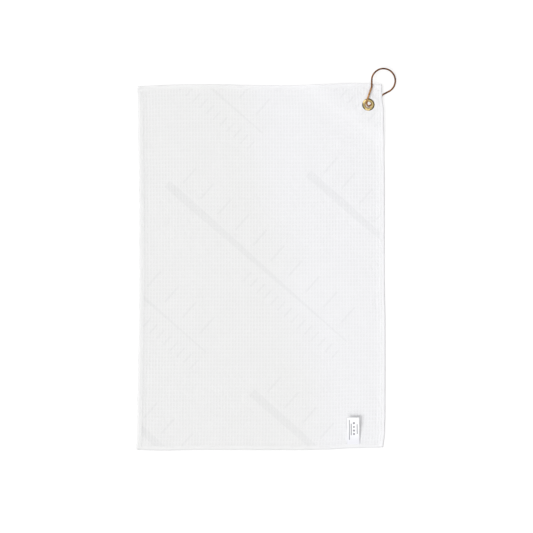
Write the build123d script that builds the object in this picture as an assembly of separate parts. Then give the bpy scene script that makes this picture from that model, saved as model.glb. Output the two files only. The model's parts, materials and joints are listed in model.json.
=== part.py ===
from build123d import *
from math import asin, atan2, cos, degrees, hypot, radians, sin
import os

# Golf towel: a hemmed waffle-weave cloth lying flat, with a brass grommet near its top right corner,
# a pear-shaped wire hook through the grommet, and a folded label sewn in at the bottom hem.
#
# Frame: millimetres, +Z up. The origin is the centre of the cloth's underside, which lies on Z = 0.
# +X runs along the towel's width, towards the side with the grommet; +Y runs along its length,
# towards the end with the grommet.

# ---- Driving dimensions ----

# Cloth
TOWEL_WIDTH = 406.4
TOWEL_LENGTH = 609.6
CORNER_RADIUS = 2.0
CLOTH_THICKNESS = 1.8
HEM_WIDTH = 7.5
HEM_THICKNESS = 2.6

# Hem threads: a line of stitching half sunk into the hem, near its inner edge
SEAM_INSET = 6.0
THREAD_WIDTH = 0.6
THREAD_THICKNESS = 0.5
THREAD_END_GAP = 2.0

# Grommet, size 2: hole 3/8 in, flange 13/16 in
GROMMET_SIDE_INSET = 26.0
GROMMET_TOP_INSET = 35.0
HOLE_RADIUS = 4.75
FLANGE_RADIUS = 10.3
SHEET_THICKNESS = 0.5
DOME_HEIGHT = 1.5
WASHER_RADIUS = 9.9
WASHER_THICKNESS = 0.45
LIP_RADIUS = 1.6
ROLL_RADIUS = 6.7
ROLL_HEIGHT = 0.45

# Hook: round spring wire, bent to the outline of a light bulb. Places on it are from the grommet's axis.
WIRE_DIAMETER = 2.7
WIRE_CLEARANCE = 0.3
HEM_CLEARANCE = 0.6
LOOP_RADIUS = 19.7
LOOP_CENTRE = (25.2, 40.0)
LOOP_CORNERS = 5
LOOP_TURN = 48.8
LOOP_CORNER_RADIUS = 19.2
LOOP_LIFT = 7.1
NECK_HEIGHT = 29.8
NECK_UNDER_CLOTH = (24.4, 17.0)
NECK_RADIUS = 9.0
LEG_BEND = (-1.2, 10.8)
LEG_BEND_RADIUS = 30.0
ABOVE_HOLE = (-3.3, 0.6)
IN_HOLE = (-0.3, -2.8)
BELOW_HOLE = (3.4, -1.4)
HOLE_BEND_RADIUS = 4.0
LAP_SPACING = 3.0
LAP_START = 8.0
LAP_END = 20.0

# Label: a ribbon folded in two, its ends at the bottom hem's inner edge
LABEL_WIDTH = 21.0
LABEL_LENGTH = 46.2
LABEL_CENTRE_X = 152.8
RIBBON_THICKNESS = 0.3
LABEL_GAP = 0.3
LABEL_HEM_CLEARANCE = 1.0
LABEL_HEIGHT = 0.75
LABEL_TILT = 5.0

# ---- Worked out from them ----

GROMMET_X = TOWEL_WIDTH / 2 - GROMMET_SIDE_INSET
GROMMET_Y = TOWEL_LENGTH / 2 - GROMMET_TOP_INSET
CORNER_HEADING = degrees(atan2(GROMMET_TOP_INSET, GROMMET_SIDE_INSET))
BARREL_RADIUS = HOLE_RADIUS + SHEET_THICKNESS

# The cloth's corner rides on the wire that passes below it: its underside is raised by this much.
CORNER_LIFT = WIRE_DIAMETER + WIRE_CLEARANCE + ROLL_HEIGHT + WASHER_THICKNESS
RAMP_END = -18.0
RAMP_START = -60.0

WIRE_RADIUS = WIRE_DIAMETER / 2
UNDER_Z = WIRE_RADIUS
FIELD_TOP = CORNER_LIFT + CLOTH_THICKNESS
DOME_TOP = FIELD_TOP + DOME_HEIGHT
OVER_Z = DOME_TOP + WIRE_CLEARANCE + WIRE_RADIUS
HEM_CROSSING_Z = CORNER_LIFT + HEM_THICKNESS + HEM_CLEARANCE + WIRE_RADIUS

FAR = 2 * hypot(TOWEL_WIDTH, TOWEL_LENGTH)


# ---- Cloth and hem threads ----


def rise_curve(height):
    """Side view of the lifted corner at this height above the underside, in (distance, z)."""
    middle = ((RAMP_START + RAMP_END) / 2, CORNER_LIFT / 2 + height)
    low = (RAMP_START, height)
    high = (RAMP_END, CORNER_LIFT + height)
    with BuildLine() as curve:
        Line((-FAR, height), low)
        TangentArc(low, middle, tangent=(1, 0))
        TangentArc(high, middle, tangent=(-1, 0))
        Line(high, (FAR, CORNER_LIFT + height))
    return curve.line


def layer(low, high):
    """The space between two heights above the cloth's underside, following the lifted corner."""
    side_view = make_face(
        Wire(
            rise_curve(low).edges()
            + rise_curve(high).edges()
            + Line((-FAR, low), (-FAR, high)).edges()
            + Line((FAR, CORNER_LIFT + low), (FAR, CORNER_LIFT + high)).edges()
        )
    )
    across = Plane.XZ * side_view
    slab = extrude(across, amount=FAR, both=True)
    return Pos(GROMMET_X, GROMMET_Y, 0) * Rot(0, 0, CORNER_HEADING) * slab


def column(width, length, centre=(0, 0), corner=0.0):
    """An upright rectangular column, taller than the towel is thick."""
    outline = RectangleRounded(width, length, corner) if corner else Rectangle(width, length)
    height = 2 * DOME_TOP
    return Pos(centre[0], centre[1], -height / 2) * extrude(outline, amount=height)


def seam_runs():
    """Each hem thread's name with its length along X, along Y and its centre."""
    seam_x = TOWEL_WIDTH / 2 - SEAM_INSET
    seam_y = TOWEL_LENGTH / 2 - SEAM_INSET
    long_run = TOWEL_WIDTH - 2 * THREAD_END_GAP
    side_run = TOWEL_LENGTH - 2 * HEM_WIDTH
    return {
        "hem_thread_top": (long_run, THREAD_WIDTH, (0, seam_y)),
        "hem_thread_bottom": (long_run, THREAD_WIDTH, (0, -seam_y)),
        "hem_thread_left": (THREAD_WIDTH, side_run, (-seam_x, 0)),
        "hem_thread_right": (THREAD_WIDTH, side_run, (seam_x, 0)),
    }


def make_threads():
    """One thread on each side, half its thickness sunk into the hem."""
    thread_layer = layer(HEM_THICKNESS - THREAD_THICKNESS / 2, HEM_THICKNESS + THREAD_THICKNESS / 2)
    return {
        name: thread_layer & column(width, length, centre)
        for name, (width, length, centre) in seam_runs().items()
    }


def make_cloth(threads):
    """The cloth and its folded hem: one piece, thicker along its border, with the grommet's hole."""
    outline = column(TOWEL_WIDTH, TOWEL_LENGTH, corner=CORNER_RADIUS)
    inside = column(TOWEL_WIDTH - 2 * HEM_WIDTH, TOWEL_LENGTH - 2 * HEM_WIDTH)
    field = layer(0, CLOTH_THICKNESS) & inside
    hem = layer(0, HEM_THICKNESS) & (outline - inside)
    hole = Pos(GROMMET_X, GROMMET_Y, 0) * Cylinder(BARREL_RADIUS, 4 * DOME_TOP)
    cloth = field + hem - hole
    for thread in threads.values():
        cloth = cloth - thread
    return cloth


# ---- Grommet ----


def ring_from(section):
    """A ring round the grommet's axis, from its half section in (radius, z)."""
    return Pos(GROMMET_X, GROMMET_Y, 0) * revolve(Plane.XZ * section, Axis.Z, 360)


def make_eyelet():
    """Domed flange on the face, barrel through the cloth, and the barrel's end rolled over the washer."""
    crown = HOLE_RADIUS + LIP_RADIUS
    lip_low = DOME_TOP - LIP_RADIUS
    under_dome = DOME_TOP - SHEET_THICKNESS
    rim = FLANGE_RADIUS - SHEET_THICKNESS
    washer_low = CORNER_LIFT - WASHER_THICKNESS
    roll_low = washer_low - ROLL_HEIGHT
    with BuildSketch() as section:
        with BuildLine():
            # Outer skin: up the barrel, over the rounded lip to the crown, and down to the rim
            Line((HOLE_RADIUS, washer_low), (HOLE_RADIUS, lip_low))
            TangentArc((HOLE_RADIUS, lip_low), (crown, DOME_TOP), tangent=(0, 1))
            TangentArc((crown, DOME_TOP), (FLANGE_RADIUS, FIELD_TOP), tangent=(1, 0))
            Line((FLANGE_RADIUS, FIELD_TOP), (rim, FIELD_TOP))
            # Underside of the flange, back to the barrel's outside
            TangentArc((crown, under_dome), (rim, FIELD_TOP), tangent=(1, 0))
            TangentArc((BARREL_RADIUS, lip_low), (crown, under_dome), tangent=(0, 1))
            Line((BARREL_RADIUS, lip_low), (BARREL_RADIUS, washer_low))
            # Out under the washer, then round the roll and back into the hole
            Line((BARREL_RADIUS, washer_low), (ROLL_RADIUS, washer_low))
            TangentArc((ROLL_RADIUS, washer_low), (ROLL_RADIUS - ROLL_HEIGHT, roll_low), tangent=(0, -1))
            Line((ROLL_RADIUS - ROLL_HEIGHT, roll_low), (HOLE_RADIUS + ROLL_HEIGHT, roll_low))
            TangentArc((HOLE_RADIUS, washer_low), (HOLE_RADIUS + ROLL_HEIGHT, roll_low), tangent=(0, -1))
        make_face()
    return ring_from(section.sketch)


def make_washer():
    """Flat ring on the back of the cloth, round the barrel, with a rounded outer edge."""
    low = CORNER_LIFT - WASHER_THICKNESS
    middle = CORNER_LIFT - WASHER_THICKNESS / 2
    edge = WASHER_RADIUS - WASHER_THICKNESS / 2
    with BuildSketch() as section:
        with BuildLine():
            Line((BARREL_RADIUS, low), (edge, low))
            ThreePointArc((edge, low), (WASHER_RADIUS, middle), (edge, CORNER_LIFT))
            Line((edge, CORNER_LIFT), (BARREL_RADIUS, CORNER_LIFT))
            Line((BARREL_RADIUS, CORNER_LIFT), (BARREL_RADIUS, low))
        make_face()
    return ring_from(section.sketch)


# ---- Hook ----


def loop_points():
    """Corners of the path round the loop, clockwise from its left side, sinking towards the right."""
    reach = LOOP_RADIUS / cos(radians(LOOP_TURN / 2))
    points = []
    for number in range(LOOP_CORNERS):
        angle = radians(180 - LOOP_TURN / 2 - number * LOOP_TURN)
        fall = (1 - cos(radians(180) * number / (LOOP_CORNERS - 1))) / 2
        height = UNDER_Z + LOOP_LIFT * (1 - fall)
        points.append((LOOP_CENTRE[0] + reach * cos(angle), LOOP_CENTRE[1] + reach * sin(angle), height))
    return points


def lap_points(below_hole):
    """Both ends of the wire, side by side under the cloth: the inner end's tip and the outer end's."""
    reach_x = NECK_UNDER_CLOTH[0] - below_hole[0]
    reach_y = NECK_UNDER_CLOTH[1] - below_hole[1]
    heading = atan2(reach_y, reach_x) + asin(LAP_SPACING / hypot(reach_x, reach_y))
    along = Vector(cos(heading), sin(heading), 0)
    aside = Vector(sin(heading), -cos(heading), 0)
    start = Vector(*below_hole)
    return start + along * LAP_END, start + along * LAP_START + aside * LAP_SPACING


def hook_route():
    """The wire's path from one end to the other, with a bend radius at each corner between them."""
    above_hole = (*ABOVE_HOLE, OVER_Z)
    in_hole = (*IN_HOLE, (OVER_Z + UNDER_Z) / 2)
    below_hole = (*BELOW_HOLE, UNDER_Z)
    leg_bend = (*LEG_BEND, OVER_Z)
    neck_over_hem = (LOOP_CENTRE[0] - LOOP_RADIUS, NECK_HEIGHT, HEM_CROSSING_Z)
    neck_under_cloth = (*NECK_UNDER_CLOTH, UNDER_Z)
    inner_tip, outer_tip = lap_points(below_hole)
    points = [inner_tip, below_hole, in_hole, above_hole, leg_bend, neck_over_hem]
    points += loop_points()
    points += [neck_under_cloth, outer_tip]
    radii = [HOLE_BEND_RADIUS] * 3
    radii += [LEG_BEND_RADIUS, NECK_RADIUS]
    radii += [LOOP_CORNER_RADIUS] * LOOP_CORNERS
    radii += [NECK_RADIUS]
    return points, radii


def make_hook():
    """Spring wire through the grommet, round the loop and back under the cloth to lie beside itself."""
    points, radii = hook_route()
    route = FilletPolyline(*points, radius=radii)
    section = Plane(origin=route @ 0, z_dir=route % 0) * Circle(WIRE_RADIUS)
    wire = sweep(section, path=route)
    print("hook wire length", round(route.length, 2))
    print("volume", round(wire.volume, 2), "section times length", round(section.area * route.length, 2))
    return Pos(GROMMET_X, GROMMET_Y, 0) * wire


# ---- Label ----


def label_hinge():
    """Where the label's ends leave the hem: the line that it lifts about, as (y, z)."""
    return (-TOWEL_LENGTH / 2 + HEM_WIDTH + LABEL_HEM_CLEARANCE, CLOTH_THICKNESS + LABEL_HEIGHT)


def make_label():
    """A ribbon folded in two, with its fold at the free end, tilted up off the cloth."""
    outer = RIBBON_THICKNESS + LABEL_GAP / 2
    inner = LABEL_GAP / 2
    bend = LABEL_LENGTH - outer
    with BuildSketch() as section:
        with BuildLine():
            Line((0, -outer), (bend, -outer))
            ThreePointArc((bend, -outer), (LABEL_LENGTH, 0), (bend, outer))
            Line((bend, outer), (0, outer))
            Line((0, outer), (0, inner))
            Line((0, inner), (bend, inner))
            ThreePointArc((bend, inner), (bend + inner, 0), (bend, -inner))
            Line((bend, -inner), (0, -inner))
            Line((0, -inner), (0, -outer))
        make_face()
    strip = extrude(Plane.YZ * section.sketch, amount=LABEL_WIDTH / 2, both=True)
    hinge_y, hinge_z = label_hinge()
    return Pos(LABEL_CENTRE_X, hinge_y, hinge_z) * Rot(LABEL_TILT, 0, 0) * strip


# ---- All pieces ----


def make_all():
    """Every node's shape, by the node's name."""
    threads = make_threads()
    shapes = {"waffle_cloth": make_cloth(threads)}
    shapes.update(threads)
    shapes["grommet_eyelet"] = make_eyelet()
    shapes["grommet_washer"] = make_washer()
    shapes["hook_wire"] = make_hook()
    shapes["label"] = make_label()
    return shapes


os.makedirs("parts", exist_ok=True)
for node, shape in make_all().items():
    export_step(shape, f"parts/{node}.step")
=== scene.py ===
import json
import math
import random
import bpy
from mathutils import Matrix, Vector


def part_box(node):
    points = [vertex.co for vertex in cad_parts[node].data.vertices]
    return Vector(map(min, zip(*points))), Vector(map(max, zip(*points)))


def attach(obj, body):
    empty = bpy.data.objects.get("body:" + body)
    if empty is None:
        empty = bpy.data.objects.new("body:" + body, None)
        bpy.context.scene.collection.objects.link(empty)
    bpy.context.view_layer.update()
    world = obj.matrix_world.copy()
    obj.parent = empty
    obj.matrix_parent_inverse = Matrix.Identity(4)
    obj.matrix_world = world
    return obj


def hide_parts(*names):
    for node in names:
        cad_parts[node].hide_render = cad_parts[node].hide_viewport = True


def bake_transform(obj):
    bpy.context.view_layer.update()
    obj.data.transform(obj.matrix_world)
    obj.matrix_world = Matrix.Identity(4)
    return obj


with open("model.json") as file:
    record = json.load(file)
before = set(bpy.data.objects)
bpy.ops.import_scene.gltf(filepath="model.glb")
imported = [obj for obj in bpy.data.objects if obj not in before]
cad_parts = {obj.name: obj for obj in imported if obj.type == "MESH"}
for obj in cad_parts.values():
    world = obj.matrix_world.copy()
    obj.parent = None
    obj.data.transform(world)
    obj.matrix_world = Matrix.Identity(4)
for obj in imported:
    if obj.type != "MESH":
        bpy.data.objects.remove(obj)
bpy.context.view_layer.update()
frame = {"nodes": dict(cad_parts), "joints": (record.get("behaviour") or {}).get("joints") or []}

# Golf towel: the looks of a waffle-weave towel laid flat, around its CAD model.
# Lengths are in metres, in the CAD model's frame: +X to the towel's right, +Y to its top, +Z up.
# The grommet and the hook are the CAD model's own shapes with better materials. The cloth, its hem
# stitches and its label are made here and stand for the plain CAD solids.

from types import SimpleNamespace

import bpy
import numpy as np
from mathutils import Vector, noise

MM = 0.001
WHITE = (1, 1, 1, 1)

# ---- Places and sizes taken from the CAD model ----

CLOTH_LOW, CLOTH_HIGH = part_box("waffle_cloth")
EYELET_LOW, EYELET_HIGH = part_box("grommet_eyelet")
WASHER_LOW, WASHER_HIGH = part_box("grommet_washer")
LABEL_LOW, LABEL_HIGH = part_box("label")
JOINTS = {joint["name"]: joint for joint in frame["joints"]}
LABEL_HINGE = Vector(JOINTS["label_lift"]["pos_m"])

HALF_WIDTH = (CLOTH_HIGH.x - CLOTH_LOW.x) / 2
HALF_LENGTH = (CLOTH_HIGH.y - CLOTH_LOW.y) / 2
GROMMET = (EYELET_LOW + EYELET_HIGH) / 2
FLANGE_RADIUS = (EYELET_HIGH.x - EYELET_LOW.x) / 2
WASHER_RADIUS = (WASHER_HIGH.x - WASHER_LOW.x) / 2
CORNER_LIFT = WASHER_HIGH.z
HEM_THICKNESS = CLOTH_HIGH.z - CORNER_LIFT
LABEL_WIDTH = LABEL_HIGH.x - LABEL_LOW.x
LABEL_LENGTH = LABEL_HIGH.y - LABEL_HINGE.y

# ---- Sizes that the CAD model's plain solids share with these pieces ----

CLOTH_THICKNESS = 1.8 * MM
HEM_WIDTH = 7.5 * MM
SEAM_INSET = 6.0 * MM
RAMP_START = -60.0 * MM
RAMP_END = -18.0 * MM

# ---- Weave, hem and label ----

CELL_WIDTH = 5.0 * MM
CELL_LENGTH = 6.6 * MM
CELL_COLUMNS = 2
CELL_ROWS = 3
FACE_PIT_DEPTH = 0.65 * MM
BACK_PIT_DEPTH = 0.45 * MM
PIT_UNEVENNESS = 0.25
ROW_RIDGE_SHARE = 0.5
WAVE_HEIGHT = 0.9 * MM

# The grommet presses the cloth in, and the cloth swells this far outside its flange.
PRESSED_FACE = 0.12 * MM
PRESSED_BACK = 0.05 * MM
SWELL_HEIGHT = 0.5 * MM
SWELL_REACH = 4.0 * MM
SWELL_SPREAD = 2.5 * MM

# The cloth rises to meet the hem, within this distance of it.
DRAWN_UP_HEIGHT = 0.45 * MM
DRAWN_UP_REACH = 6.0 * MM
DRAWN_UP_FLATTENING = 0.5

HEM_PIT_SHARE = 0.3
HEM_CORNER_BULK = 0.22
HEM_UNEVENNESS = 0.05
BOTTOM_CREASE = 0.24
TOP_CREASE = 0.06
CORNER_ROUND = 2.0 * MM
LABEL_BULGE = 0.45 * MM
LABEL_BULGE_FADE = 3.0 * MM

STITCH_PITCH = 3.0 * MM
STITCH_LENGTH = 2.5 * MM
STITCH_RADIUS = 0.28 * MM
STITCH_SAG = 0.3 * MM
STITCH_WANDER = 0.12
SEAM_END_GAP = 2.0 * MM

THREADS_ACROSS_CELL = 9
THREADS_ALONG_CELL = 12

RIBBON_THICKNESS = 0.2 * MM
RIBBON_RUN = 45 * MM

# Each line of the hem: its distance from the towel's edge, the share of the hem's full height that the
# top reaches there, and how far the hem's underside is above the cloth's.
HEM_LINES = (
    (0.0, 0.50, 0.75 * MM),
    (0.45 * MM, 0.80, 0.20 * MM),
    (1.4 * MM, 0.97, 0.0),
    (3.1 * MM, 1.00, 0.0),
    (4.8 * MM, 0.99, 0.0),
    (SEAM_INSET, 0.92, 0.25 * MM),
    (6.8 * MM, 0.90, 0.0),
)
CREASE_LINE = 2

# How far each edge of the towel stands out from its straight CAD edge, as (place along it, offset).
LEFT_EDGE = (
    (-305, 6.0), (-280, 4.4), (-240, 4.0), (-180, 2.9), (-100, 1.7), (-20, 0.6),
    (70, 1.0), (155, 1.4), (200, 2.2), (270, 2.8), (305, 4.0),
)
RIGHT_EDGE = (
    (-305, -0.9), (-280, 1.7), (-240, 2.4), (-180, 2.6), (-100, 2.6), (-30, 1.4),
    (60, 1.3), (150, 1.3), (200, 0.6), (262, -0.3), (282, -2.9), (305, -3.4),
)
TOP_EDGE = (
    (-203, -4.0), (-182, -3.3), (-165, -2.2), (-120, -1.1), (-80, -0.9), (-20, -2.1),
    (50, -2.6), (95, -1.4), (150, 0.7), (180, 0.2), (203, -1.0),
)
BOTTOM_EDGE = (
    (-203, 0.0), (-165, 1.1), (-100, 0.1), (60, 0.3), (105, -0.4), (150, -2.8), (185, -3.2), (203, -4.2),
)


# ---- Small helpers ----


def smooth_step(value):
    """0 below 0, 1 above 1, and a smooth rise between."""
    value = np.clip(value, 0.0, 1.0)
    return value * value * (3 - 2 * value)


def edge_offset(points, places):
    """The edge's offset at these places along it, eased between the chosen points."""
    along = np.array([point[0] for point in points]) * MM
    offset = np.array([point[1] for point in points]) * MM
    number = np.clip(np.searchsorted(along, places) - 1, 0, len(along) - 2)
    share = (places - along[number]) / (along[number + 1] - along[number])
    return offset[number] + smooth_step(share) * (offset[number + 1] - offset[number])


def soft_noise(x, y, scale, seed):
    """Smooth noise from -1 to 1 over the floor plane, with features about 1/scale metres long."""
    return np.array([noise.noise(Vector((a * scale, b * scale, seed))) for a, b in zip(x, y)])


def new_object(name, vertices, faces):
    """A smooth-shaded mesh object in the scene."""
    mesh = bpy.data.meshes.new(name)
    mesh.from_pydata([tuple(vertex) for vertex in vertices], [], faces)
    mesh.validate()
    mesh.shade_smooth()
    piece = bpy.data.objects.new(name, mesh)
    bpy.context.scene.collection.objects.link(piece)
    return piece


def point_attribute(piece, name, values):
    """Stores one number for each vertex, which a material can read by name."""
    attribute = piece.data.attributes.new(name, "FLOAT", "POINT")
    attribute.data.foreach_set("value", np.asarray(values, np.float32))


def grid_quads(rows, columns):
    """Corner numbers of each quad of a grid whose points are numbered row by row."""
    corner = np.arange(rows * columns).reshape(rows, columns)
    sides = [corner[:-1, :-1], corner[:-1, 1:], corner[1:, 1:], corner[1:, :-1]]
    return np.stack(sides, axis=-1).reshape(-1, 4)


def corner_lift(x, y):
    """How far the towel's underside is lifted where its corner rides on the hook's wire."""
    heading = math.atan2(HALF_LENGTH - GROMMET.y, HALF_WIDTH - GROMMET.x)
    along = (x - GROMMET.x) * math.cos(heading) + (y - GROMMET.y) * math.sin(heading)
    share = np.clip((along - RAMP_START) / (RAMP_END - RAMP_START), 0.0, 1.0)
    rise = np.where(share < 0.5, 2 * share**2, 1 - 2 * (1 - share) ** 2)
    return CORNER_LIFT * rise


def cloth_wave(x, y):
    """Gentle unevenness of the laid cloth, which dies out at the lifted corner and round the label."""
    wave = 0.65 * soft_noise(x, y, 11.0, 3.7) + 0.35 * soft_noise(x, y, 27.0, 8.1)
    calm_corner = 1 - smooth_step(corner_lift(x, y) / (0.5 * CORNER_LIFT))
    label_distance = np.hypot(x - LABEL_HINGE.x, y - LABEL_HINGE.y - 0.02)
    calm_label = smooth_step((label_distance - 0.02) / 0.05)
    return WAVE_HEIGHT * (0.5 + 0.5 * wave) * calm_corner * calm_label


def underside_height(x, y):
    """Height of the towel's underside at a place on it."""
    return corner_lift(x, y) + cloth_wave(x, y)


# ---- Cloth ----


def grid_lines(half, cell, samples):
    """Grid lines from one edge to the other: hem lines at both ends and waffle lines between.

    Returns each line's place, its number within its waffle cell, its cell coordinate, and the number
    of its hem line, or -1 in the field."""
    inner = half - HEM_WIDTH
    cells = round(2 * inner / cell)
    field = np.linspace(-inner, inner, cells * samples + 1)
    hem = np.array([line[0] for line in HEM_LINES])
    places = np.concatenate([-half + hem, field, (half - hem)[::-1]])
    numbers = np.arange(len(hem))
    hem_number = np.concatenate([numbers, np.full(len(field), -1), numbers[::-1]])
    cell_place = (places + inner) / (2 * inner) * cells
    in_cell = np.round(cell_place * samples).astype(int) % samples
    return places, in_cell, cell_place, hem_number


def hem_values(hem_number, low_crease=0.0, high_crease=0.0):
    """For each line: 1 in the hem or 0 in the field, the top's height share, and the underside's rise.

    The creases are the height share that the fold's crease loses, at the low end and at the high end."""
    in_hem = (hem_number >= 0).astype(float)
    share = np.array([line[1] for line in HEM_LINES] + [1.0])[hem_number]
    rise = np.array([line[2] for line in HEM_LINES] + [0.0])[hem_number]
    at_high_end = np.arange(len(hem_number)) > len(hem_number) / 2
    share = share - (hem_number == CREASE_LINE) * np.where(at_high_end, high_crease, low_crease)
    return in_hem, share, rise


def rounded_corner(x, y):
    """Moves points near the towel's corners inwards, so that each corner is round."""
    inset_x = CORNER_ROUND - (HALF_WIDTH - np.abs(x))
    inset_y = CORNER_ROUND - (HALF_LENGTH - np.abs(y))
    near = (inset_x > 0) & (inset_y > 0)
    reach = np.maximum(np.hypot(inset_x, inset_y), 1e-9)
    shrink = np.where(near, np.maximum(inset_x, inset_y) / reach, 1.0)
    x = np.where(near, np.sign(x) * (np.abs(x) - inset_x * (1 - shrink)), x)
    y = np.where(near, np.sign(y) * (np.abs(y) - inset_y * (1 - shrink)), y)
    return x, y


def laid_outline(x, y):
    """Moves points so that the towel's edges have the slight waves and flares of laid cloth."""
    right_share = (x + HALF_WIDTH) / (2 * HALF_WIDTH)
    top_share = (y + HALF_LENGTH) / (2 * HALF_LENGTH)
    to_right = right_share**2 * edge_offset(RIGHT_EDGE, y)
    to_left = (1 - right_share) ** 2 * edge_offset(LEFT_EDGE, y)
    to_top = top_share**2 * edge_offset(TOP_EDGE, x)
    to_bottom = (1 - top_share) ** 2 * edge_offset(BOTTOM_EDGE, x)
    return x + (to_right - to_left), y + (to_top - to_bottom)


def cloth_grid():
    """The flat towel's grid, row by row: each point's place, its place in its cell, and its hem values."""
    x_lines, x_in_cell, x_cell, x_hem = grid_lines(HALF_WIDTH, CELL_WIDTH, CELL_COLUMNS)
    y_lines, y_in_cell, y_cell, y_hem = grid_lines(HALF_LENGTH, CELL_LENGTH, CELL_ROWS)
    columns, rows = len(x_lines), len(y_lines)
    grid = SimpleNamespace(columns=columns, rows=rows, count=rows * columns)
    grid.flat_x, grid.flat_y = np.tile(x_lines, rows), np.repeat(y_lines, columns)
    grid.in_x, grid.in_y = np.tile(x_in_cell, rows), np.repeat(y_in_cell, columns)
    grid.cell_x, grid.cell_y = np.tile(x_cell, rows), np.repeat(y_cell, columns)
    values_x = hem_values(x_hem)
    values_y = hem_values(y_hem, BOTTOM_CREASE, TOP_CREASE)
    grid.hem_x, grid.share_x, grid.rise_x = (np.tile(values, rows) for values in values_x)
    grid.hem_y, grid.share_y, grid.rise_y = (np.repeat(values, columns) for values in values_y)
    grid.in_hem = np.maximum(grid.hem_x, grid.hem_y)
    return grid


def hem_heights(grid, x, y):
    """The hem's thickness at each point: bulkier at the corners and where it covers the label's ends."""
    height = HEM_THICKNESS * (1 + HEM_CORNER_BULK * grid.hem_x * grid.hem_y) * grid.share_x * grid.share_y
    height = height * (1 + HEM_UNEVENNESS * soft_noise(x, y, 90.0, 5.9))
    from_label = np.abs(x - LABEL_HINGE.x) - LABEL_WIDTH / 2
    over_label = (1 - smooth_step(from_label / LABEL_BULGE_FADE)) * (y < LABEL_HINGE.y + 5 * MM)
    return height + LABEL_BULGE * over_label * grid.share_y


def cloth_faces(grid, x, y, reach):
    """Heights of the cloth's face and back at each point. Reach is the distance from the grommet's axis."""
    from_flange = reach - FLANGE_RADIUS
    clamped = 1 - smooth_step(from_flange / SWELL_REACH)
    swell = SWELL_HEIGHT * np.exp(-(((from_flange - SWELL_REACH) / SWELL_SPREAD) ** 2))

    # Beside the hem the cloth rises to meet it, and its waffle is pressed flatter.
    from_edge = np.minimum(HALF_WIDTH - np.abs(grid.flat_x), HALF_LENGTH - np.abs(grid.flat_y))
    drawn_up = (1 - smooth_step((from_edge - HEM_WIDTH) / DRAWN_UP_REACH)) * (grid.in_hem == 0)

    relief = 1 - (1 - HEM_PIT_SHARE) * grid.in_hem
    relief = relief * (1 - clamped) * (1 - DRAWN_UP_FLATTENING * drawn_up)
    face_pit = (grid.in_x == 1) * np.where(grid.in_y != 0, 1.0, 1 - ROW_RIDGE_SHARE) * relief
    face_pit = face_pit * (1 + PIT_UNEVENNESS * soft_noise(x, y, 160.0, 1.3))
    back_pit = ((grid.in_x == 0) & (grid.in_y != 1)) * relief

    ground = underside_height(x, y)
    field_height = CLOTH_THICKNESS + swell + DRAWN_UP_HEIGHT * drawn_up
    height = np.where(grid.in_hem > 0, hem_heights(grid, x, y), field_height)
    rise = np.maximum(np.maximum(grid.rise_x, grid.rise_y), BACK_PIT_DEPTH * back_pit)
    face = ground + height - FACE_PIT_DEPTH * face_pit - PRESSED_FACE * clamped
    return face, ground + rise + PRESSED_BACK * clamped


def fold_shade(grid):
    """How much painted shade greys the cloth on the left fold's rim and in the bottom fold's crease."""
    from_left = HALF_WIDTH + grid.flat_x
    from_bottom = HALF_LENGTH + grid.flat_y
    left_rim = 0.22 * np.clip(1 - from_left / (2.2 * MM), 0.0, 1.0)
    low_crease = 0.25 * np.clip(1 - np.abs(from_bottom - 1.4 * MM) / (1.3 * MM), 0.0, 1.0)
    return np.maximum(left_rim, low_crease)


def make_cloth():
    """The whole towel as one closed cloth: waffle relief on both faces, and the folded hem round it."""
    grid = cloth_grid()
    count = grid.count
    x, y = laid_outline(*rounded_corner(grid.flat_x, grid.flat_y))
    reach = np.hypot(x - GROMMET.x, y - GROMMET.y)
    face, back = cloth_faces(grid, x, y, reach)

    quads = grid_quads(grid.rows, grid.columns)
    in_hole = reach < 0.6 * FLANGE_RADIUS
    kept = quads[~in_hole[quads].any(axis=1)]
    faces = kept.tolist() + (kept[:, ::-1] + count).tolist()
    faces += side_walls(kept, count)

    # The cloth's hole is hidden by the flange. Its rim is drawn on to a circle.
    rim = hole_rim(kept, reach)
    stretch = 0.68 * FLANGE_RADIUS / reach[rim]
    x[rim] = GROMMET.x + (x[rim] - GROMMET.x) * stretch
    y[rim] = GROMMET.y + (y[rim] - GROMMET.y) * stretch

    vertices = np.concatenate([np.column_stack([x, y, face]), np.column_stack([x, y, back])])
    used, faces = without_loose(vertices, faces)
    cloth = new_object("towel_cloth", vertices[used], faces)
    same_on_both = {
        "fold_shade": fold_shade(grid),
        "in_hem": grid.in_hem,
        "cell_x": grid.cell_x,
        "cell_y": grid.cell_y,
    }
    for name, values in same_on_both.items():
        point_attribute(cloth, name, np.concatenate([values, values])[used])
    point_attribute(cloth, "is_back", np.repeat([0.0, 1.0], count)[used])
    return cloth


def border_edges(quads):
    """Edges that only one quad uses, in that quad's direction."""
    edges = np.concatenate([quads[:, [k, (k + 1) % 4]] for k in range(4)])
    names = set(map(tuple, edges.tolist()))
    return [(a, b) for a, b in names if (b, a) not in names]


def side_walls(quads, count):
    """Quads that join the face's border to the back's, round the outside and round the hole."""
    return [(b, a, a + count, b + count) for a, b in sorted(border_edges(quads))]


def hole_rim(quads, reach):
    """Vertices on the border of the grommet's hole."""
    return np.array(sorted({a for edge in border_edges(quads) for a in edge if reach[a] < FLANGE_RADIUS}))


def without_loose(vertices, faces):
    """Which vertices the faces use, and the faces renumbered for them alone."""
    used = np.zeros(len(vertices), bool)
    for face in faces:
        for corner in face:
            used[corner] = True
    number = np.cumsum(used) - 1
    return used, [[int(number[corner]) for corner in face] for face in faces]


# ---- Hem stitches ----


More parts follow.
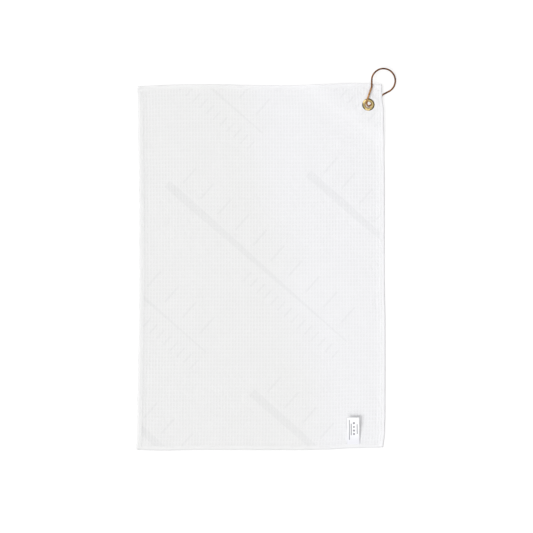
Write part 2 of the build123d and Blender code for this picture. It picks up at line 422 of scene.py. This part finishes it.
def stitch_mesh(centre, direction, up):
    """One stitch: a short plump thread, sunk at both ends. Returns its vertices and faces."""
    sides = 6
    rings = 5
    across = up.cross(direction).normalized()
    vertices = []
    for ring in range(rings):
        share = ring / (rings - 1) * 2 - 1
        radius = STITCH_RADIUS * math.sqrt(1 - 0.85 * share * share)
        middle = centre + direction * (share * STITCH_LENGTH / 2) - up * (share * share * STITCH_SAG)
        for side in range(sides):
            angle = 2 * math.pi * side / sides
            vertices.append(middle + across * (radius * math.cos(angle)) + up * (radius * math.sin(angle)))
    faces = [tuple(range(sides))[::-1], tuple(range(sides * (rings - 1), sides * rings))]
    for ring in range(rings - 1):
        for side in range(sides):
            after = (side + 1) % sides
            low, high = ring * sides, (ring + 1) * sides
            faces.append((low + side, low + after, high + after, high + side))
    return vertices, faces


def make_stitches(name, start, end, random_source):
    """A row of lockstitch from start to end on the face, with its under thread on the back."""
    seam_share = {place: share for place, share, _ in HEM_LINES}[SEAM_INSET]
    on_face = (HEM_THICKNESS * seam_share + 0.12 * MM, Vector((0, 0, 1)))
    on_back = (0.3 * MM, Vector((0, 0, -1)))
    run = end - start
    number = int(run.length / STITCH_PITCH)
    direction = run.normalized()
    vertices, faces = [], []
    for stitch in range(number):
        flat = start + run * ((stitch + 0.5) / number)
        x, y = laid_outline(np.array([flat.x]), np.array([flat.y]))
        ground = float(underside_height(x, y)[0])
        aside = random_source.uniform(-STITCH_WANDER, STITCH_WANDER) * MM
        wander = Vector((direction.y, -direction.x, 0)) * aside
        for height, up in (on_face, on_back):
            centre = Vector((float(x[0]), float(y[0]), ground + height)) + wander
            new_vertices, new_faces = stitch_mesh(centre, direction, up)
            faces += [tuple(corner + len(vertices) for corner in face) for face in new_faces]
            vertices += new_vertices
    return new_object(name, vertices, faces)


def make_all_stitches():
    """The four seams, each standing for its CAD thread."""
    random_source = random.Random(7)
    seam_x = HALF_WIDTH - SEAM_INSET
    seam_y = HALF_LENGTH - SEAM_INSET
    across = HALF_WIDTH - SEAM_END_GAP
    along = HALF_LENGTH - HEM_WIDTH - SEAM_END_GAP
    seams = {
        "top": (Vector((-across, seam_y, 0)), Vector((across, seam_y, 0))),
        "bottom": (Vector((-across, -seam_y, 0)), Vector((across, -seam_y, 0))),
        "left": (Vector((-seam_x, -along, 0)), Vector((-seam_x, along, 0))),
        "right": (Vector((seam_x, -along, 0)), Vector((seam_x, along, 0))),
    }
    stitches = []
    for side, (start, end) in seams.items():
        row = make_stitches(f"hem_stitches_{side}", start, end, random_source)
        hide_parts(f"hem_thread_{side}")
        stitches.append(row)
    return stitches


# ---- Label ----


def label_path():
    """The ribbon's middle line, out, round the fold and back.

    Each point is its distance from the hinge and its height above the floor."""
    length = LABEL_LENGTH - 1.0 * MM
    steps = 28
    base = CLOTH_THICKNESS + 0.35 * MM

    def lift(share):
        return base + 1.6 * MM * share + 4.4 * MM * share**2

    def opening(share):
        return 0.14 * MM + 0.85 * MM * share**1.5

    shares = [step / steps for step in range(steps + 1)]
    under = [(share * length, lift(share) - opening(share)) for share in shares]
    over = [(share * length, lift(share) + opening(share)) for share in reversed(shares)]
    bulge = opening(1.0)
    fold = []
    for step in range(1, 8):
        angle = math.pi * (step / 8 - 0.5)
        fold.append((length + 1.1 * bulge * math.cos(angle), lift(1.0) + bulge * math.sin(angle)))
    return under + fold + over


def make_label():
    """A ribbon folded in two: it leaves the hem's inner edge, lifts off the cloth and opens at its fold."""
    path = label_path()
    across = 12
    rows, columns = len(path), across + 1
    run = [0.0]
    for before, after in zip(path, path[1:]):
        run.append(run[-1] + math.dist(before, after))
    vertices, ribbon_x, ribbon_y = [], [], []
    for side in (-1, 1):
        for number, (out, height) in enumerate(path):
            before = path[max(number - 1, 0)]
            after = path[min(number + 1, len(path) - 1)]
            along = Vector((after[0] - before[0], after[1] - before[1])).normalized()
            normal = Vector((-along.y, along.x)) * (side * RIBBON_THICKNESS / 2)
            free = smooth_step(out / RIBBON_RUN)
            for step in range(across + 1):
                place = step / across - 0.5
                narrowing = 1 - 0.04 * out / RIBBON_RUN
                curl = 0.5 * MM * (2 * place) ** 2 * free
                twist = 0.9 * MM * place * free
                x = LABEL_HINGE.x + place * LABEL_WIDTH * narrowing - 0.7 * MM * out / RIBBON_RUN
                vertices.append((x, LABEL_HINGE.y + out + normal.x, height + normal.y + curl + twist))
                ribbon_x.append(place + 0.5)
                ribbon_y.append(run[number] / run[-1])
    count = rows * columns
    quads = grid_quads(rows, columns)
    faces = (quads + count).tolist() + quads[:, ::-1].tolist()
    faces += [(a, b, b + count, a + count) for a, b in sorted(border_edges(quads))]
    label = new_object("woven_label", vertices, faces)
    point_attribute(label, "ribbon_x", ribbon_x)
    point_attribute(label, "ribbon_y", ribbon_y)
    return label


# ---- Materials ----


class Nodes:
    """A node tree being built. Each method adds one node and returns the socket that it gives."""

    def __init__(self, tree):
        self.tree = tree

    def link(self, value, socket):
        if isinstance(value, bpy.types.NodeSocket):
            self.tree.links.new(value, socket)
        elif value is not None:
            socket.default_value = value

    def math(self, operation, first, second=None):
        node = self.tree.nodes.new("ShaderNodeMath")
        node.operation = operation
        self.link(first, node.inputs[0])
        self.link(second, node.inputs[1])
        return node.outputs[0]

    def add(self, first, second):
        return self.math("ADD", first, second)

    def less(self, first, second):
        return self.math("SUBTRACT", first, second)

    def times(self, first, second):
        return self.math("MULTIPLY", first, second)

    def larger(self, first, second):
        return self.math("MAXIMUM", first, second)

    def size(self, value):
        return self.math("ABSOLUTE", value)

    def fraction(self, value):
        return self.math("FRACT", value)

    def hypotenuse(self, first, second):
        squares = self.add(self.math("POWER", first, 2.0), self.math("POWER", second, 2.0))
        return self.math("SQRT", squares)

    def ramp(self, value, low, high, to_low=0.0, to_high=1.0):
        node = self.tree.nodes.new("ShaderNodeMapRange")
        node.interpolation_type = "SMOOTHSTEP"
        sockets = ("Value", "From Min", "From Max", "To Min", "To Max")
        for socket, number in zip(sockets, (value, low, high, to_low, to_high)):
            self.link(number, node.inputs[socket])
        return node.outputs[0]

    def mix(self, share, first, second):
        node = self.tree.nodes.new("ShaderNodeMix")
        node.data_type = "RGBA"
        self.link(share, node.inputs["Factor"])
        self.link(first, node.inputs[6])
        self.link(second, node.inputs[7])
        return node.outputs[2]

    def attribute(self, name):
        node = self.tree.nodes.new("ShaderNodeAttribute")
        node.attribute_name = name
        return node.outputs["Fac"]

    def place(self):
        node = self.tree.nodes.new("ShaderNodeTexCoord")
        return node.outputs["Object"]

    def split(self, vector):
        node = self.tree.nodes.new("ShaderNodeSeparateXYZ")
        self.link(vector, node.inputs[0])
        return node.outputs[0], node.outputs[1], node.outputs[2]

    def stretched(self, vector, scale, turn=(0, 0, 0)):
        node = self.tree.nodes.new("ShaderNodeMapping")
        self.link(vector, node.inputs["Vector"])
        node.inputs["Scale"].default_value = scale
        node.inputs["Rotation"].default_value = turn
        return node.outputs[0]

    def noise(self, vector, scale, detail=3.0):
        node = self.tree.nodes.new("ShaderNodeTexNoise")
        self.link(vector, node.inputs["Vector"])
        node.inputs["Scale"].default_value = scale
        node.inputs["Detail"].default_value = detail
        return node.outputs[0]

    def towards(self, vector, direction):
        """How nearly a vector points in a direction: 1 if it does and 0 at a right angle to it."""
        node = self.tree.nodes.new("ShaderNodeVectorMath")
        node.operation = "DOT_PRODUCT"
        self.link(vector, node.inputs[0])
        node.inputs[1].default_value = Vector(direction).normalized()
        return node.outputs["Value"]


class Shader(Nodes):
    """A material being built on one surface shader."""

    def __init__(self, name, **constants):
        self.material = bpy.data.materials.new(name)
        self.material.use_nodes = True
        super().__init__(self.material.node_tree)
        self.surface = self.tree.nodes["Principled BSDF"]
        for socket, value in constants.items():
            self.surface.inputs[socket.replace("_", " ")].default_value = value

    def set(self, socket, value):
        self.link(value, self.surface.inputs[socket])

    def bump(self, height, distance, strength=1.0):
        node = self.tree.nodes.new("ShaderNodeBump")
        self.link(height, node.inputs["Height"])
        node.inputs["Distance"].default_value = distance
        node.inputs["Strength"].default_value = strength
        self.link(node.outputs[0], self.surface.inputs["Normal"])


def shade(value):
    """A neutral grey of this linear brightness, as a colour."""
    return (value, value, value, 1.0)


def printed_pattern(shader, place):
    """How strongly the cloth's plain pattern is printed: 1 on a bar, less on a stroke, and 0 elsewhere.

    Rows of long bars that thin out slant down to the right, with upright strokes on both sides."""
    slant = math.radians(-41.3)
    row_pitch, repeat, stagger, first_bar = 168 * MM, 500 * MM, 165 * MM, -210 * MM
    bar_length, thick_half, thin_half = 400 * MM, 7 * MM, 1.2 * MM
    x, y, _ = shader.split(shader.stretched(place, (1, 1, 1), (0, 0, -slant)))
    row = shader.add(shader.math("DIVIDE", y, row_pitch), 0.5)
    across = shader.times(shader.less(shader.fraction(row), 0.5), row_pitch)
    shift = shader.times(shader.math("FLOOR", row), stagger)
    from_start = shader.less(shader.less(x, first_bar), shift)
    along = shader.times(shader.fraction(shader.math("DIVIDE", from_start, repeat)), repeat)

    half = shader.ramp(along, 0.0, bar_length, thick_half, thin_half)
    inside = shader.less(half, shader.size(across))
    bar = shader.times(shader.ramp(inside, -MM, MM), between(shader, along, 0.0, bar_length))

    tall = strokes(shader, along, 39 * MM, 1.7 * MM)
    tall = shader.times(tall, between(shader, across, 17 * MM, 52 * MM))
    tall = shader.times(tall, between(shader, along, 10 * MM, bar_length))
    short = strokes(shader, along, 15 * MM, 1.5 * MM)
    short = shader.times(short, between(shader, across, -38 * MM, -18 * MM))
    short = shader.times(short, between(shader, along, bar_length / 2, bar_length))
    return shader.larger(bar, shader.times(shader.larger(tall, short), 0.95))


def between(shader, value, low, high):
    """1 where the value is from low to high, with soft ends a millimetre wide."""
    return shader.times(shader.ramp(value, low, low + MM), shader.ramp(value, high - MM, high, 1.0, 0.0))


def from_middle(shader, value):
    """The value's distance from the middle of its repeat, where the repeat is 1 long."""
    return shader.size(shader.less(shader.fraction(value), 0.5))


def strokes(shader, value, pitch, half):
    """1 on strokes of this half width at every pitch, and 0 between them."""
    distance = shader.times(from_middle(shader, shader.math("DIVIDE", value, pitch)), pitch)
    return shader.ramp(distance, half * 0.7, half * 1.3, 1.0, 0.0)


def waffle_ridges(shader):
    """1 on the waffle's ridges and 0 in its hollows, from the cloth's own cell coordinates."""
    upright = shader.times(from_middle(shader, shader.attribute("cell_x")), 2.0)
    level = shader.times(from_middle(shader, shader.attribute("cell_y")), 2.0)
    return shader.larger(shader.ramp(upright, 0.4, 0.8), shader.ramp(level, 0.5, 0.85, 0.0, 0.6))


def fine_weave(shader):
    """Height of the cloth's own fine threads, which cross each other within each waffle cell."""
    turn_x = shader.times(shader.attribute("cell_x"), 2 * math.pi * THREADS_ACROSS_CELL)
    turn_y = shader.times(shader.attribute("cell_y"), 2 * math.pi * THREADS_ALONG_CELL)
    return shader.times(shader.math("SINE", turn_x), shader.math("SINE", turn_y))


def cloth_colour(shader, place, ridges, fuzz):
    """The cloth's white, with painted light that makes it a little brighter and cooler towards the top
    right, painted shade in the waffle's hollows, and a faint print.
    """
    x, y, _ = shader.split(place)
    in_hem = shader.attribute("in_hem")
    not_hem = shader.less(1.0, in_hem)
    painted_hollow_shade = shader.larger(shader.less(1.0, shader.add(ridges, shader.times(in_hem, 0.7))), 0.0)
    # Painted light: the cloth grows a little brighter and bluer towards the top right, past a slanted,
    # wavering line.
    painted_light_wobble = shader.times(shader.less(shader.noise(place, 9.0, 2.0), 0.5), 0.1)
    painted_light_slant = shader.add(shader.add(x, shader.times(y, 0.22)), painted_light_wobble)
    colour = shader.mix(shader.ramp(painted_light_slant, -0.01, 0.09), shade(0.711), (0.733, 0.733, 0.747, 1))
    # Painted shade: the waffle's hollows are darkened, less so in the hem.
    colour = shader.mix(shader.times(painted_hollow_shade, 0.05), colour, shade(0.2))
    colour = shader.mix(shader.times(in_hem, 0.12), colour, shade(0.85))
    # Painted shade on the left fold's rim and in the bottom fold's crease.
    colour = shader.mix(shader.attribute("fold_shade"), colour, shade(0.4))
    colour = shader.mix(shader.ramp(fuzz, 0.35, 0.7, 0.0, 0.03), colour, shade(0.35))
    ink = shader.times(printed_pattern(shader, place), not_hem)
    strength = shader.add(shader.times(shader.attribute("is_back"), 0.45), 0.055)
    return shader.mix(shader.times(ink, strength), colour, (0.16, 0.17, 0.19, 1))


def cloth_material():
    """White waffle cloth: fine threads, fuzz, painted shade in its hollows, and a faint printed pattern."""
    shader = Shader("waffle_cloth", Specular_IOR_Level=0.0)
    place = shader.place()
    ridges = waffle_ridges(shader)
    fuzz = shader.noise(place, 1400.0, 4.0)
    shader.set("Base Color", cloth_colour(shader, place, ridges, fuzz))
    shader.set("Roughness", shader.ramp(fuzz, 0.3, 0.7, 0.82, 0.96))
    height = shader.add(shader.times(fine_weave(shader), 0.05), shader.times(fuzz, 0.11))
    field_ridges = shader.times(ridges, shader.less(1.0, shader.attribute("in_hem")))
    height = shader.add(height, shader.times(field_ridges, 0.28))
    shader.bump(height, 1 * MM, 0.6)
    return shader.material


def thread_material():
    """Spun sewing thread, with the twist of its strands."""
    shader = Shader("sewing_thread", Specular_IOR_Level=0.2)
    place = shader.place()
    strands = shader.noise(shader.stretched(place, (1, 1, 2), (0.6, 0.0, 0.7)), 3200.0, 2.0)
    shader.set("Base Color", shader.mix(strands, shade(0.66), shade(0.80)))
    shader.set("Roughness", shader.ramp(strands, 0.3, 0.7, 0.55, 0.75))
    shader.bump(strands, 0.08 * MM, 0.7)
    return shader.material


def brass_material():
    """Bright rolled brass, with faint spin marks, small scratches and duller patches."""
    shader = Shader("grommet_brass", Metallic=1.0, Specular_Tint=(0.75, 0.6, 0.35, 1))
    place = shader.place()
    patches = shader.noise(place, 260.0, 4.0)
    scratches = shader.noise(shader.stretched(place, (1, 14, 3), (0, 0, 0.5)), 900.0, 3.0)
    colour = shader.mix(shader.ramp(patches, 0.35, 0.7), (0.70, 0.55, 0.26, 1), (0.49, 0.375, 0.16, 1))
    shader.set("Base Color", colour)
    rough = shader.ramp(patches, 0.3, 0.7, 0.11, 0.22)
    rough = shader.add(rough, shader.ramp(scratches, 0.4, 0.7, 0.0, 0.08))
    shader.set("Roughness", rough)
    shader.bump(shader.add(scratches, shader.times(patches, 0.6)), 0.02 * MM, 0.5)
    return shader.material


def wire_material():
    """Bronze-coloured drawn wire: dark patches, and a painted reflection that brightens the stretch nearest
    the grommet.
    """
    shader = Shader("hook_bronze", Metallic=1.0, Specular_Tint=(0.25, 0.10, 0.04, 1))
    place = shader.place()
    patches = shader.noise(place, 130.0, 4.0)
    grain = shader.noise(place, 2200.0, 3.0)
    x, y, _ = shader.split(place)
    out = shader.hypotenuse(shader.less(x, GROMMET.x), shader.less(y, GROMMET.y))
    # Painted reflection: the wire is brightened near the grommet, fading out from 20 to 34 mm away.
    painted_reflection = shader.ramp(out, 20 * MM, 34 * MM, 1.0, 0.0)
    dark = shader.mix(shader.ramp(patches, 0.38, 0.66), (0.30, 0.118, 0.030, 1), (0.105, 0.034, 0.006, 1))
    reflection_colour = shader.mix(shader.ramp(patches, 0.38, 0.66), (0.66, 0.36, 0.15, 1), (0.40, 0.18, 0.06, 1))
    shader.set("Base Color", shader.mix(painted_reflection, dark, reflection_colour))
    rough = shader.ramp(patches, 0.3, 0.7, 0.22, 0.38)
    shader.set("Roughness", shader.add(rough, shader.times(grain, 0.06)))
    shader.bump(grain, 0.02 * MM, 0.4)
    return shader.material


# Each printed bar on the label: its middle across the ribbon, its start and end along the label, and its
# half width, all as shares. Each dot: its place along the label, as a share, and its radius.
LABEL_BARS = ((0.17, 0.09, 0.82, 0.026), (0.32, 0.23, 0.66, 0.030), (0.80, 0.25, 0.61, 0.028))
LABEL_DOTS = ((0.215, 2.0 * MM), (0.355, 1.7 * MM), (0.485, 1.9 * MM), (0.61, 1.8 * MM))
LABEL_DOTS_ACROSS = 0.54


def label_print(shader, across, along):
    """Plain bars and four plain dots, in columns along the ribbon's upper face. 1 is full ink."""
    marks = 0.0
    for middle, start, end, half in LABEL_BARS:
        inside = shader.ramp(shader.size(shader.less(across, middle)), half, half * 1.5, 1.0, 0.0)
        inside = shader.times(inside, shader.ramp(along, start, start + 0.01))
        inside = shader.times(inside, shader.ramp(along, end - 0.01, end, 1.0, 0.0))
        marks = shader.larger(marks, inside)
    for place, radius in LABEL_DOTS:
        side = shader.times(shader.less(across, LABEL_DOTS_ACROSS), LABEL_WIDTH)
        out = shader.times(shader.less(along, place), LABEL_LENGTH)
        dot = shader.ramp(shader.hypotenuse(side, out), radius * 0.8, radius * 1.1, 1.0, 0.0)
        marks = shader.larger(marks, dot)
    return marks


def label_material():
    """White satin-woven ribbon, with painted shade that makes it darker and bluer near the hem, and plain
    grey marks on its upper face.
    """
    shader = Shader("label_ribbon", Specular_IOR_Level=0.25)
    place = shader.place()
    across = shader.attribute("ribbon_x")
    along = shader.times(shader.less(shader.attribute("ribbon_y"), 0.5), 2.0)
    weave = shader.noise(shader.stretched(place, (1, 6, 1)), 1500.0, 2.0)
    # Painted shade: the ribbon grows darker and bluer towards its ends at the hem.
    painted_base_shade = shader.ramp(shader.size(along), 0.45, 1.0)
    ribbon = shader.mix(painted_base_shade, (0.82, 0.82, 0.83, 1), (0.71, 0.71, 0.755, 1))
    ribbon = shader.mix(shader.ramp(weave, 0.35, 0.7, 0.0, 0.06), ribbon, shade(0.3))
    ink = shader.times(label_print(shader, across, along), 0.8)
    shader.set("Base Color", shader.mix(ink, ribbon, (0.13, 0.13, 0.16, 1)))
    shader.set("Roughness", shader.ramp(weave, 0.3, 0.7, 0.45, 0.62))
    shader.bump(weave, 0.05 * MM, 0.5)
    return shader.material


def dress(piece, material):
    """Gives a piece its one material."""
    piece.data.materials.clear()
    piece.data.materials.append(material)


# ---- Floor, lights and camera ----

FLOOR_HALF = 4.0
FLOOR_GAP = 0.1 * MM
FLOOR_GLOW = 0.64
KEY_LIGHT = ((-1.5, -0.9, 1.7), 28, 1.5)
TOP_LIGHT = ((0.3, 1.6, 2.0), 40, 0.8)
CEILING_LIGHT = 0.85
BOX_LIGHT = 1.5
SOFT_BOXES = ((-0.7, 0.7, 0.75), (-0.15, -0.9, 0.75))
CAMERA_HEIGHT = 4.0
CAMERA_X = 7.8 * MM
CAMERA_Y = 0.6 * MM
VIEW_WIDTH = 0.8874
SENSOR_WIDTH = 36.0


def make_floor():
    """A plain pale floor just below the towel, lit from within like a light table."""
    corners = ((-1, -1), (1, -1), (1, 1), (-1, 1))
    vertices = [(FLOOR_HALF * x, FLOOR_HALF * y, -FLOOR_GAP) for x, y in corners]
    floor = new_object("floor", vertices, [(0, 1, 2, 3)])
    shader = Shader(
        "floor_white", Specular_IOR_Level=0.1, Emission_Color=WHITE, Emission_Strength=FLOOR_GLOW
    )
    grain = shader.noise(shader.place(), 30.0, 2.0)
    shader.set("Base Color", shader.mix(grain, shade(0.33), shade(0.36)))
    shader.set("Roughness", shader.ramp(grain, 0.3, 0.7, 0.85, 0.95))
    floor.data.materials.append(shader.material)


def make_light(name, place, spread, power):
    """A soft, even light from far off in the direction of place, spread over this angle in degrees."""
    lamp = bpy.data.lights.new(name, "SUN")
    lamp.angle = math.radians(spread)
    lamp.energy = power
    light = bpy.data.objects.new(name, lamp)
    light.location = place
    light.rotation_mode = "QUATERNION"
    light.rotation_quaternion = Vector(place).to_track_quat("Z", "Y")
    light.visible_glossy = False
    bpy.context.scene.collection.objects.link(light)


def make_lights():
    """Soft studio light: a key from the lower left, a weaker one from the top, and an even surround."""
    make_light("key_light", *KEY_LIGHT)
    make_light("top_light", *TOP_LIGHT)
    make_surround()
    bpy.context.scene.view_settings.view_transform = "Standard"


def make_surround():
    """A pale surround that is dark above the horizon, with an even ceiling and two bright soft boxes."""
    world = bpy.data.worlds.new("studio")
    world.use_nodes = True
    nodes = Nodes(world.node_tree)
    direction = nodes.tree.nodes.new("ShaderNodeTexCoord").outputs["Generated"]
    height = nodes.split(direction)[2]
    horizon = nodes.ramp(height, 0.10, 0.18, 1.0, 0.03)
    light = nodes.add(horizon, nodes.ramp(height, 0.5, 0.9, 0.0, CEILING_LIGHT))
    for box in SOFT_BOXES:
        light = nodes.add(light, nodes.ramp(nodes.towards(direction, box), 0.88, 0.97, 0.0, BOX_LIGHT))
    background = nodes.tree.nodes["Background"]
    background.inputs["Color"].default_value = WHITE
    nodes.link(light, background.inputs["Strength"])
    bpy.context.scene.world = world


def make_camera():
    """A camera straight above the towel, far off with a long lens, with the towel's top at the top."""
    data = bpy.data.cameras.new("camera")
    data.sensor_width = SENSOR_WIDTH
    data.lens = SENSOR_WIDTH * CAMERA_HEIGHT / VIEW_WIDTH
    data.clip_end = 20.0
    camera = bpy.data.objects.new("camera", data)
    camera.location = (CAMERA_X, CAMERA_Y, CAMERA_HEIGHT)
    bpy.context.scene.collection.objects.link(camera)
    bpy.context.scene.camera = camera


# ---- The whole scene ----


def build():
    make_camera()
    make_floor()
    make_lights()

    cloth = make_cloth()
    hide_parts("waffle_cloth")
    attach(cloth, "towel")
    dress(cloth, cloth_material())

    stitches = make_all_stitches()
    thread = thread_material()
    for row in stitches:
        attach(row, "towel")
        dress(row, thread)

    label = make_label()
    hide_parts("label")
    dress(label, label_material())
    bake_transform(label)

    brass = brass_material()
    for node in ("grommet_eyelet", "grommet_washer"):
        dress(frame["nodes"][node], brass)
    dress(frame["nodes"]["hook_wire"], wire_material())


build()
